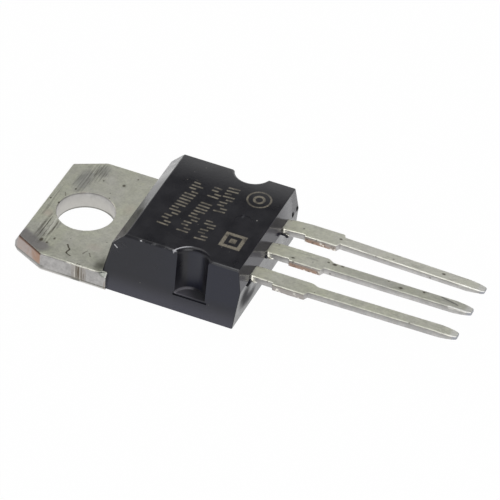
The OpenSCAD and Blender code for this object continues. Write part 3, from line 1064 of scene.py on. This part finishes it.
# Painted highlight: the rolled near top edge of each lead is laid in cream, fully on the output lead and near the
# moulding, more towards the tips, and a quarter as much elsewhere.
painted_highlight_share = wire.sum("ADD", wire.ramp(y, 1.2, 1.6, 0.25, 1), wire.ramp(x, end_x + 1.6, end_x + 1.1), clamp=True)
painted_highlight_share = wire.sum("ADD", painted_highlight_share, wire.ramp(x, tip_x - 1.7, tip_x - 0.9, 0, 0.75), clamp=True)
paint_stain_and_light((0.95, 0.93, 0.85), wire.product(edge_up, painted_highlight_share, wire.ramp(blotch["Cloud"], 0.15, 0.6, 0.45, 1)), 0.85)
lead_side = wire.product(wire.ramp(face_y_way, -0.7, -0.9), outside)
paint_stain_and_light((0.27, 0.27, 0.25), wire.product(lead_side, wire.ramp(z, lead_top - 0.3, lead_top - 0.12)), 0.42)
# Painted highlight: each lead's root, from just inside the moulding to 0.4 mm out, is laid in near-white cream, mostly
# on its near-facing faces.
root = wire.product(wire.ramp(x, end_x + 0.42, end_x + 0.2), wire.ramp(x, end_x - 0.3, end_x - 0.2), wire.ramp(face_y_way, 0.1, -0.2))
paint_stain_and_light((0.98, 0.96, 0.86), root, 0.95)
fresh = wire.product(wire.ramp(x, end_x + 1.3, end_x + 0.7), outside, up)
paint_stain_and_light((0.66, 0.65, 0.52), wire.product(fresh, wire.ramp(blotch["Grain"], 0.35, 0.6, 0.4, 1)), 0.5)
paint_stain_and_light((0.72, 0.71, 0.66), wire.product(outside, up, wire.ramp(y, 1.2, 1.6), wire.ramp(x, 14, 18)), 0.45)
paint_stain_and_light(grey_tin, wire.product(outside, up, wire.ramp(wire.sum("ABSOLUTE", y), 0.9, 0.6), wire.ramp(x, 15, 19)), 0.35)

lead_rub = wire.add("TexNoise", {"Vector": wire.vector("MULTIPLY", place, (0.9, 5.0, 5.0)), "Scale": 1, "Detail": 3}).outputs["Fac"]
paint_stain_and_light(dark_tin, wire.product(outside, wire.ramp(lead_rub, 0.56, 0.7)), 0.25)
lead_pits = wire.use(pits, Place=place, **{"Per mm": 1.6, "Size": 0.09, "Share": 0.4})["Mask"]
paint_stain_and_light(scuff_brown, wire.product(lead_pits, outside), 0.6)
for centre, radius in (
    ((21.54, 0.02), 0.13), ((23.45, 2.5), 0.12), ((20.63, 0.3), 0.09), ((17.53, 0.3), 0.12), ((16.41, 2.72), 0.1), ((14.41, -0.3), 0.1),
    ((23.0, 0.3), 0.1), ((17.0, 0.25), 0.14), ((16.6, 0.28), 0.1),
):
    paint_stain_and_light(scuff_brown, spot_at((*centre, lead_top), (radius * 1.6, radius, 0.12), 0.7, 0.3), 0.9)
tip_blue = wire.product(wire.ramp(x, tip_x - 0.4, tip_x - 0.15), wire.ramp(face_z_way, 0.9, 0.7))
paint_stain_and_light((0.36, 0.37, 0.41), tip_blue, 0.85)
paint_stain_and_light((0.75, 0.75, 0.74), wire.product(wire.ramp(x, tip_x - 0.55, tip_x - 0.35), up), 0.5)

# %% Tinned copper: surface
bump = wire.add("Bump", {"Height": height, "Strength": 0.35, "Distance": 0.00001}).outputs["Normal"]
shader = wire.add("BsdfPrincipled", {
    "Base Color": colour, "Metallic": 1.0, "Roughness": roughness, "Normal": bump,
})
wire.feed(surface, shader.outputs[0])
print(tin.name, "has", len(tin.node_tree.nodes), "nodes")

# %% [markdown]
# ### Black moulding compound
#
# The compound is a filled epoxy: nearly black, faintly blue, and dull where the mould was eroded. The slope at
# the tab end and the two facets at the lead end are polished, so they mirror the table and look much paler. What
# was printed on the top is kept as plain worn strokes, a ring and a block, with no letters in them. Paler feet on
# the long faces, highlights on the near top edge, the ejector mark and the near notch, and light on that notch's
# floor are painted into the colour.

# %% A row of printed strokes
wire, given, result = new_group(
    "printed row",
    {"Place": (0, 0, 0), "Start": (0, 0, 0), "Along": (0, 1, 0), "Upwards": (-1, 0, 0), "Length": 5.0, "Height": 0.7},
    {"Mask": "Float"},
)
offset = wire.vector("SUBTRACT", given["Place"], given["Start"])
along = wire.vector("DOT_PRODUCT", offset, given["Along"])
rise = wire.sum("DIVIDE", wire.vector("DOT_PRODUCT", offset, given["Upwards"]), given["Height"])
stroke_pitch = 0.31
cell = wire.sum("DIVIDE", wire.sum("ADD", along, wire.sum("MULTIPLY", rise, 0.06)), stroke_pitch)
number = wire.sum("FLOOR", cell)
dice = wire.add("TexWhiteNoise", {"W": number}, noise_dimensions="1D").outputs["Value"]
middle = wire.sum("ABSOLUTE", wire.sum("SUBTRACT", wire.sum("FRACT", cell), 0.5))
upright = wire.ramp(middle, 0.25, 0.17)
low = wire.ramp(dice, 0.78, 0.8, 0.0, 0.45)
high = wire.ramp(dice, 0.22, 0.2, 1.0, 0.55)
tall = wire.product(wire.ramp(rise, wire.sum("SUBTRACT", low, 0.05), low), wire.ramp(rise, wire.sum("ADD", high, 0.05), high))
flat = wire.ramp(wire.sum("ABSOLUTE", wire.sum("SUBTRACT", rise, 0.5)), 0.5, 0.42)
kept = wire.product(
    wire.ramp(along, -0.02, 0.02), wire.ramp(along, given["Length"], wire.sum("SUBTRACT", given["Length"], 0.04)),
)
wire.feed(result["Mask"], wire.product(upright, tall, flat, kept))
printed_row = wire.tree

# %% Black compound: colour
epoxy, wire, surface = new_material("black moulding compound")
place = wire.use(millimetres)["Place"]
x, y, z = wire.add("SeparateXYZ", {0: place}).outputs
normal = wire.add("NewGeometry").outputs["Normal"]
face_x_way, face_y_way, face_z_way = wire.add("SeparateXYZ", {0: normal}).outputs
up = wire.product(wire.ramp(face_z_way, 0.85, 0.95), wire.ramp(z, top_z - 0.1, top_z - 0.05))

compound = wire.use(mottling, Place=place, **{"Cloud per mm": 0.7, "Grain per mm": 11.0})
fine = wire.use(mottling, Place=wire.vector("ADD", place, (5, 40, 0)), **{"Cloud per mm": 2.4, "Grain per mm": 5.0})
black = (0.0045, 0.0045, 0.0075)
dusty = (0.0095, 0.0092, 0.0135)
colour = wire.lay(black, dusty, wire.sum("MULTIPLY", wire.sum("ADD", compound["Cloud"], fine["Cloud"]), 0.5))
# Painted light: the long faces are laid paler towards their foot, where the white floor lights them.
painted_foot_light = wire.product(wire.ramp(wire.sum("ABSOLUTE", face_y_way), 0.8, 0.95), wire.ramp(z, 1.7, 0))
paint_stain_and_light((0.066, 0.066, 0.09), painted_foot_light, 0.75)
end_face = wire.product(wire.ramp(face_x_way, 0.9, 0.96), wire.ramp(x, end_x - 0.5, end_x - 0.4))
paint_stain_and_light((0.034, 0.031, 0.045), wire.product(end_face, wire.ramp(face_z_way, 0, 0.1)), 0.9)
blue_side = wire.product(wire.ramp(wire.sum("ABSOLUTE", face_y_way), 0.8, 0.95), wire.ramp(z, 0.6, 2))
paint_stain_and_light((0.009, 0.011, 0.026), wire.product(blue_side, wire.ramp(x, 5, 11, 0.3, 1)), 0.8)

# %% Black compound: print place, specks, wear and painted highlights
print_tan = (0.25, 0.225, 0.175)
faded = wire.sum("MULTIPLY", wire.ramp(fine["Cloud"], 0.1, 0.75, 0.35, 1), wire.ramp(compound["Grain"], 0.3, 0.55, 0.55, 1))
rows = (
    ((6.75, -2.6), (7.3, 2.4), 0.84), ((8.15, -2.7), (8.47, 0.75), 0.84), ((8.53, 1.2), (8.65, 2.5), 0.84),
    ((9.47, -2.9), (9.49, -0.85), 0.84), ((9.47, 0.1), (9.45, 2.85), 0.84),
)
marks = []
for start, end, row_h in rows:
    start, end = Vector((*start, top_z)), Vector((*end, top_z))
    direction = (end - start).normalized()
    upwards = Vector((-direction.y, direction.x, 0))
    marks.append(wire.use(
        printed_row, Place=place, Start=tuple(start), Along=tuple(direction), Upwards=tuple(upwards),
        Length=(end - start).length, Height=row_h,
    )["Mask"])
ring_at = (10.86, 2.42, top_z)
ring_out = wire.sum("ABSOLUTE", wire.sum("SUBTRACT", wire.vector("DISTANCE", place, ring_at), 0.76))
marks.append(wire.ramp(ring_out, 0.08, 0.04))
marks.append(wire.ramp(wire.sum("ABSOLUTE", wire.sum("SUBTRACT", wire.vector("DISTANCE", place, ring_at), 0.32)), 0.11, 0.06))
block_in = wire.vector("ABSOLUTE", wire.vector("SUBTRACT", place, (11.0, -2.05, top_z)))
block_x, block_y, block_z = wire.add("SeparateXYZ", {0: block_in}).outputs
square = wire.sum("MAXIMUM", block_x, block_y)
marks.append(wire.product(wire.ramp(square, 0.74, 0.69), wire.ramp(square, 0.44, 0.49)))
marks.append(wire.ramp(square, 0.24, 0.19))
paint_stain_and_light(print_tan, wire.product(wire.strongest(*marks), up, faded), 0.95)

specks = wire.use(pits, Place=place, **{"Per mm": 1.7, "Size": 0.05, "Share": 0.28})["Mask"]
paint_stain_and_light((0.16, 0.15, 0.13), specks, 0.7)
crease_pits = ((12.72, 3.72, 2.95), (12.72, 4.4, 2.98))
pitted = wire.strongest(*(spot_at(centre, (0.2, 0.2, 0.26), 0.5, 0.2) for centre in crease_pits))
paint_stain_and_light((0.002, 0.002, 0.002), pitted, 1)
near_corner = spot_at((4.25, -4.6, 3.6), (0.75, 0.5, 0.7), 0.7, 0.3)
nick = wire.use(scratch, Place=place, From=(4.1, -4.63, 3.5), To=(4.28, -4.65, 3.35), Width=0.06, Waver=0.02)["Mask"]
paint_stain_and_light((0.6, 0.6, 0.62), nick, 0.95)
edge_near = wire.product(
    wire.ramp(wire.sum("ABSOLUTE", wire.sum("ADD", y, 4.47)), 0.1, 0.04), wire.ramp(z, top_z - 0.16, top_z - 0.08),
)
# The near top edge is lightened beyond x 10.5 and in patches from x 5.7: partly wear, partly a painted highlight on the
# rounded edge.
worn = wire.sum("MAXIMUM", wire.ramp(x, 10.5, 11), wire.product(wire.ramp(x, 5.6, 5.8), wire.ramp(fine["Cloud"], 0.45, 0.75)))
paint_stain_and_light((0.11, 0.11, 0.115), wire.product(edge_near, worn), 0.6)
# A painted glint on the near top edge at x 5.83, where the edge steps.
paint_stain_and_light((0.6, 0.6, 0.62), spot_at((5.83, -4.53, top_z - 0.04), (0.09, 0.07, 0.09), 0.4, 0.2), 0.9)
# A painted highlight: a pale crescent on the rim of the ejector mark.
paint_stain_and_light((0.05, 0.05, 0.056), wire.product(spot_at((10.6, 0.44, top_z), (0.12, 0.26, 0.1), 0.8, 0.2), up), 0.9)
paint_stain_and_light((0.3, 0.29, 0.27), spot_at((11.54, 0.47, top_z), (0.07, 0.07, 0.1), 0.5, 0.2), 0.9)

# %% Black compound: the near notch
axis_out = wire.vector("DISTANCE", wire.vector("MULTIPLY", place, (1, 1, 0)), (notch_x, -notch_y, 0))
in_notch = wire.product(wire.ramp(axis_out, notch_r + 0.04, notch_r - 0.01), wire.ramp(y, 0, -1))
on_floor = wire.product(
    in_notch, wire.ramp(z, notch_floor + 0.2, notch_floor + 0.1), wire.ramp(z, notch_floor - 0.1, notch_floor - 0.03),
)
lit = wire.ramp(wire.sum("ADD", x, wire.sum("MULTIPLY", y, 0.9)), notch_x - 4.5 + 0.9, notch_x - 4.5 - 0.4)
notch_sides = wire.ramp(wire.sum("ABSOLUTE", face_x_way), 0.35, 0.8)
paint_stain_and_light((0.04, 0.04, 0.047), wire.product(in_notch, notch_sides, wire.ramp(z, top_z - 0.3, top_z - 0.8)), 0.8)
# Painted light on the notch's floor: it is laid paler all over, and paler still left of a diagonal that stands for the
# edge of the right wall's shadow.
paint_stain_and_light((0.035, 0.035, 0.04), on_floor, 0.9)
paint_stain_and_light((0.088, 0.085, 0.1), wire.product(on_floor, lit), 0.95)
# Painted highlight: a pale curve where the notch's floor meets its back wall, on the left half.
painted_fillet_highlight = wire.product(wire.ramp(wire.sum("ABSOLUTE", wire.sum("SUBTRACT", axis_out, notch_r - 0.03)), 0.06, 0.02), on_floor)
paint_stain_and_light((0.22, 0.215, 0.235), wire.product(painted_fillet_highlight, wire.ramp(x, 9.5, 9.0)), 0.9)
# The pale band along the left part of the notch's rim, and the spot where the rim meets the near top edge, are partly a
# scuff and partly a painted highlight.
rim = wire.ramp(wire.sum("ABSOLUTE", wire.sum("SUBTRACT", axis_out, 1.4)), 0.055, 0.015)
rim = wire.product(rim, wire.ramp(y, -3.4, -3.6), wire.ramp(x, 9.2, 8.7), wire.ramp(z, top_z - 0.25, top_z - 0.1))
paint_stain_and_light((0.5, 0.5, 0.53), wire.product(rim, wire.ramp(x, 9.2, 8.3, 0.35, 1)), 0.95)
paint_stain_and_light((0.5, 0.5, 0.53), spot_at((8.1, -4.47, 4.4), (0.2, 0.1, 0.1), 0.7, 0.1), 0.9)
smudge = wire.sum(
    "ADD", wire.sum("MULTIPLY", spot_at((end_x - 0.1, -3.55, 1.75), (0.8, 1.3, 1.3), 0.9, 0.03), 0.85),
    wire.sum("MULTIPLY", spot_at((end_x - 0.1, -2.55, 0.9), (0.8, 1.75, 0.85), 0.9, 0.03), 0.75), clamp=True,
)

# %% Black compound: gloss, relief and surface
strip_face = wire.product(wire.ramp(face_x_way, -0.5, -0.6), wire.ramp(face_z_way, 0.5, 0.6), wire.ramp(x, face_x + 1.5, face_x + 1.4))
polish = wire.sum("MAXIMUM", strip_face, end_face)
worn_off = wire.strongest(near_corner, wire.ramp(y, -4.1, -4.6, 0, 0.75))
polish = wire.sum("MULTIPLY", polish, wire.sum("SUBTRACT", 1, wire.product(worn_off, wire.ramp(x, face_x + 3, face_x + 4, 1, 0))))
dusted = wire.strongest(pitted, smudge)
polish = wire.sum("MULTIPLY", polish, wire.sum("SUBTRACT", 1, dusted))
dull = wire.ramp(compound["Cloud"], 0, 1, 0.27, 0.36)
dull = wire.sum("ADD", dull, wire.sum("MULTIPLY", in_notch, 0.15))
dull = wire.sum("ADD", dull, wire.sum("MULTIPLY", wire.product(edge_near, wire.ramp(x, 7.6, 7.2)), 0.4))
dull = wire.sum("ADD", dull, wire.sum("MULTIPLY", dusted, 0.68))
glossy = wire.ramp(fine["Cloud"], 0, 1, 0.13, 0.2)
hazed = wire.product(wire.ramp(y, 1.8, 0.4), wire.ramp(y, -1.6, -0.8))
glossy = wire.sum("ADD", glossy, wire.sum("MULTIPLY", strip_face, wire.ramp(hazed, 0, 1, -0.08, 0.04)))
glossy = wire.sum("ADD", glossy, wire.sum("MULTIPLY", wire.product(end_face, wire.ramp(face_z_way, 0, -0.05)), 0.04))
roughness = wire.sum("ADD", wire.product(dull, wire.sum("SUBTRACT", 1, polish)), wire.product(polish, glossy))
relief = wire.sum("ADD", compound["Grain"], wire.sum("MULTIPLY", fine["Grain"], 1.5))
relief = wire.sum("MULTIPLY", relief, wire.ramp(polish, 0, 1, 1, 0.15))
relief = wire.sum("ADD", relief, wire.product(near_corner, wire.ramp(fine["Cloud"], 0.4, 0.6, -6, 6)))
relief = wire.sum("SUBTRACT", relief, wire.sum("MULTIPLY", nick, 3))
bump = wire.add("Bump", {"Height": relief, "Strength": 0.3, "Distance": 0.00001}).outputs["Normal"]
far_fall = wire.sum("POWER", wire.sum("MAXIMUM", wire.sum("SUBTRACT", y, 1.5), 0), 2)
near_fall = wire.sum("POWER", wire.sum("MAXIMUM", wire.sum("SUBTRACT", 1.5, y), 0), 2)
crown = wire.sum("MULTIPLY", wire.sum("ADD", far_fall, wire.sum("MULTIPLY", near_fall, -0.05)), -1)
bump = wire.add("Bump", {"Height": crown, "Strength": 1, "Distance": 0.00005, "Normal": bump}).outputs["Normal"]
shader = wire.add("BsdfPrincipled", {"Base Color": colour, "Roughness": roughness, "IOR": 1.46, "Normal": bump})
wire.feed(surface, shader.outputs[0])
print(epoxy.name, "has", len(epoxy.node_tree.nodes), "nodes")

# %% [markdown]
# ### What lies inside
#
# The die, its solder and the bond wires don't show, but they are real pieces and each has its own finish. Their
# CAD shapes are right, so the nodes stay and only their material slots change.

# %% Die, solder and bond wire
def inner_finish(name, dark, light, metallic, smooth, rough, per_mm):
    """A simple mottled finish for a piece inside the moulding."""
    material, wire, surface = new_material(name)
    place = wire.use(millimetres)["Place"]
    tone = wire.use(mottling, Place=place, **{"Cloud per mm": per_mm, "Grain per mm": per_mm * 6})
    shader = wire.add("BsdfPrincipled", {
        "Base Color": wire.lay(dark, light, tone["Cloud"]), "Metallic": metallic,
        "Roughness": wire.ramp(tone["Grain"], 0.3, 0.7, smooth, rough),
        "Normal": wire.add("Bump", {"Height": tone["Grain"], "Strength": 0.2, "Distance": 0.00001}).outputs["Normal"],
    })
    wire.feed(surface, shader.outputs[0])
    return material


silicon = inner_finish("polished silicon", (0.1, 0.11, 0.15), (0.15, 0.16, 0.2), 0.6, 0.12, 0.2, 0.6)
solder = inner_finish("dull solder", (0.36, 0.36, 0.37), (0.5, 0.5, 0.51), 1.0, 0.4, 0.55, 1.5)
bond_wire = inner_finish("drawn aluminium wire", (0.7, 0.7, 0.72), (0.8, 0.8, 0.82), 1.0, 0.22, 0.35, 2.0)
inner_finishes = {
    "silicon_die": silicon, "die_solder": solder,
    "input_wire": bond_wire, "output_wire": bond_wire, "ground_wire": bond_wire,
}
for name, finish in inner_finishes.items():
    mesh = frame["nodes"][name].data
    mesh.materials.clear()
    mesh.materials.append(finish)

# %% Give the remodelled pieces their finishes
for piece, finish, slot in (
    (body, epoxy, "black_epoxy"), (tab, tin, "tinned_copper"),
    (outer_leads["input_lead"], tin, "tinned_copper"), (outer_leads["output_lead"], tin, "tinned_copper"),
):
    piece.data.materials.clear()
    piece.data.materials.append(finish)

# %% [markdown]
# ## Floor and light
#
# The part lies on white paper under a large soft light. What the camera and the polished faces see of the paper
# is plain white, while the rest of its shade keeps a faint contact shadow. The room's walls are pale low down
# and darker above, so that faces that lean back pick up a paler sheen than the flat top.

# %% White floor
idle()
bpy.ops.mesh.primitive_plane_add(size=3, location=(0, 0, -0.00002))
floor = bpy.context.object
floor.name = "floor"
floor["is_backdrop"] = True
paper, wire, surface = new_material("white paper")
path = wire.add("LightPath").outputs
seen = wire.sum("MAXIMUM", path["Is Camera Ray"], wire.sum("MAXIMUM", path["Is Glossy Ray"], path["Is Transmission Ray"]))
shade = wire.add("BsdfDiffuse", {"Color": (0.86, 0.86, 0.86)}).outputs[0]
glow = wire.add("Emission", {"Color": (1, 1, 1), "Strength": 1.0}).outputs[0]
wire.feed(surface, wire.add("MixShader", {0: wire.sum("MULTIPLY", seen, 0.985), 1: shade, 2: glow}).outputs[0])
floor.data.materials.append(paper)

# %% Room light
world = bpy.data.worlds.new("studio")
bpy.context.scene.world = world
world.use_nodes = True
world.node_tree.nodes.clear()
wire = Wiring(world.node_tree)
room_low = 1.0
room_high = 0.06
sky_z = wire.add("SeparateXYZ", {0: wire.add("TexCoord").outputs["Generated"]}).outputs["Z"]
room = wire.ramp(sky_z, 0.05, 0.62, room_low, room_high)
seen = wire.add("LightPath").outputs["Is Camera Ray"]
strength = wire.sum("MAXIMUM", room, seen)
background = wire.add("Background", {"Color": (1, 1, 1), "Strength": strength})
wire.feed(wire.add("OutputWorld").inputs["Surface"], background.outputs[0])


def softbox(name, direction, size, irradiance, distance=0.6):
    """A square area lamp that gives a face turned towards it the stated share of full light."""
    data = bpy.data.lights.new(name, "AREA")
    data.size = size
    radiance = irradiance * math.pi / (size / distance) ** 2
    data.energy = radiance * math.pi * size * size
    lamp = bpy.data.objects.new(name, data)
    direction = Vector(direction).normalized()
    turn = direction.to_track_quat("Z", "Y").to_matrix().to_4x4()
    lamp.matrix_world = Matrix.Translation(view_target + direction * distance) @ turn
    bpy.context.scene.collection.objects.link(lamp)
    print(name, "at", [round(v, 2) for v in lamp.matrix_world.translation])


softbox("overhead softbox", (-0.15, 0.2, 1), 0.5, 0.5)
softbox("key softbox", (0.42, -0.55, 0.72), 0.4, 0.4)

# %% Colour settings and the box round the shown pieces
bpy.context.scene.view_settings.view_transform = "Standard"
low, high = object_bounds()
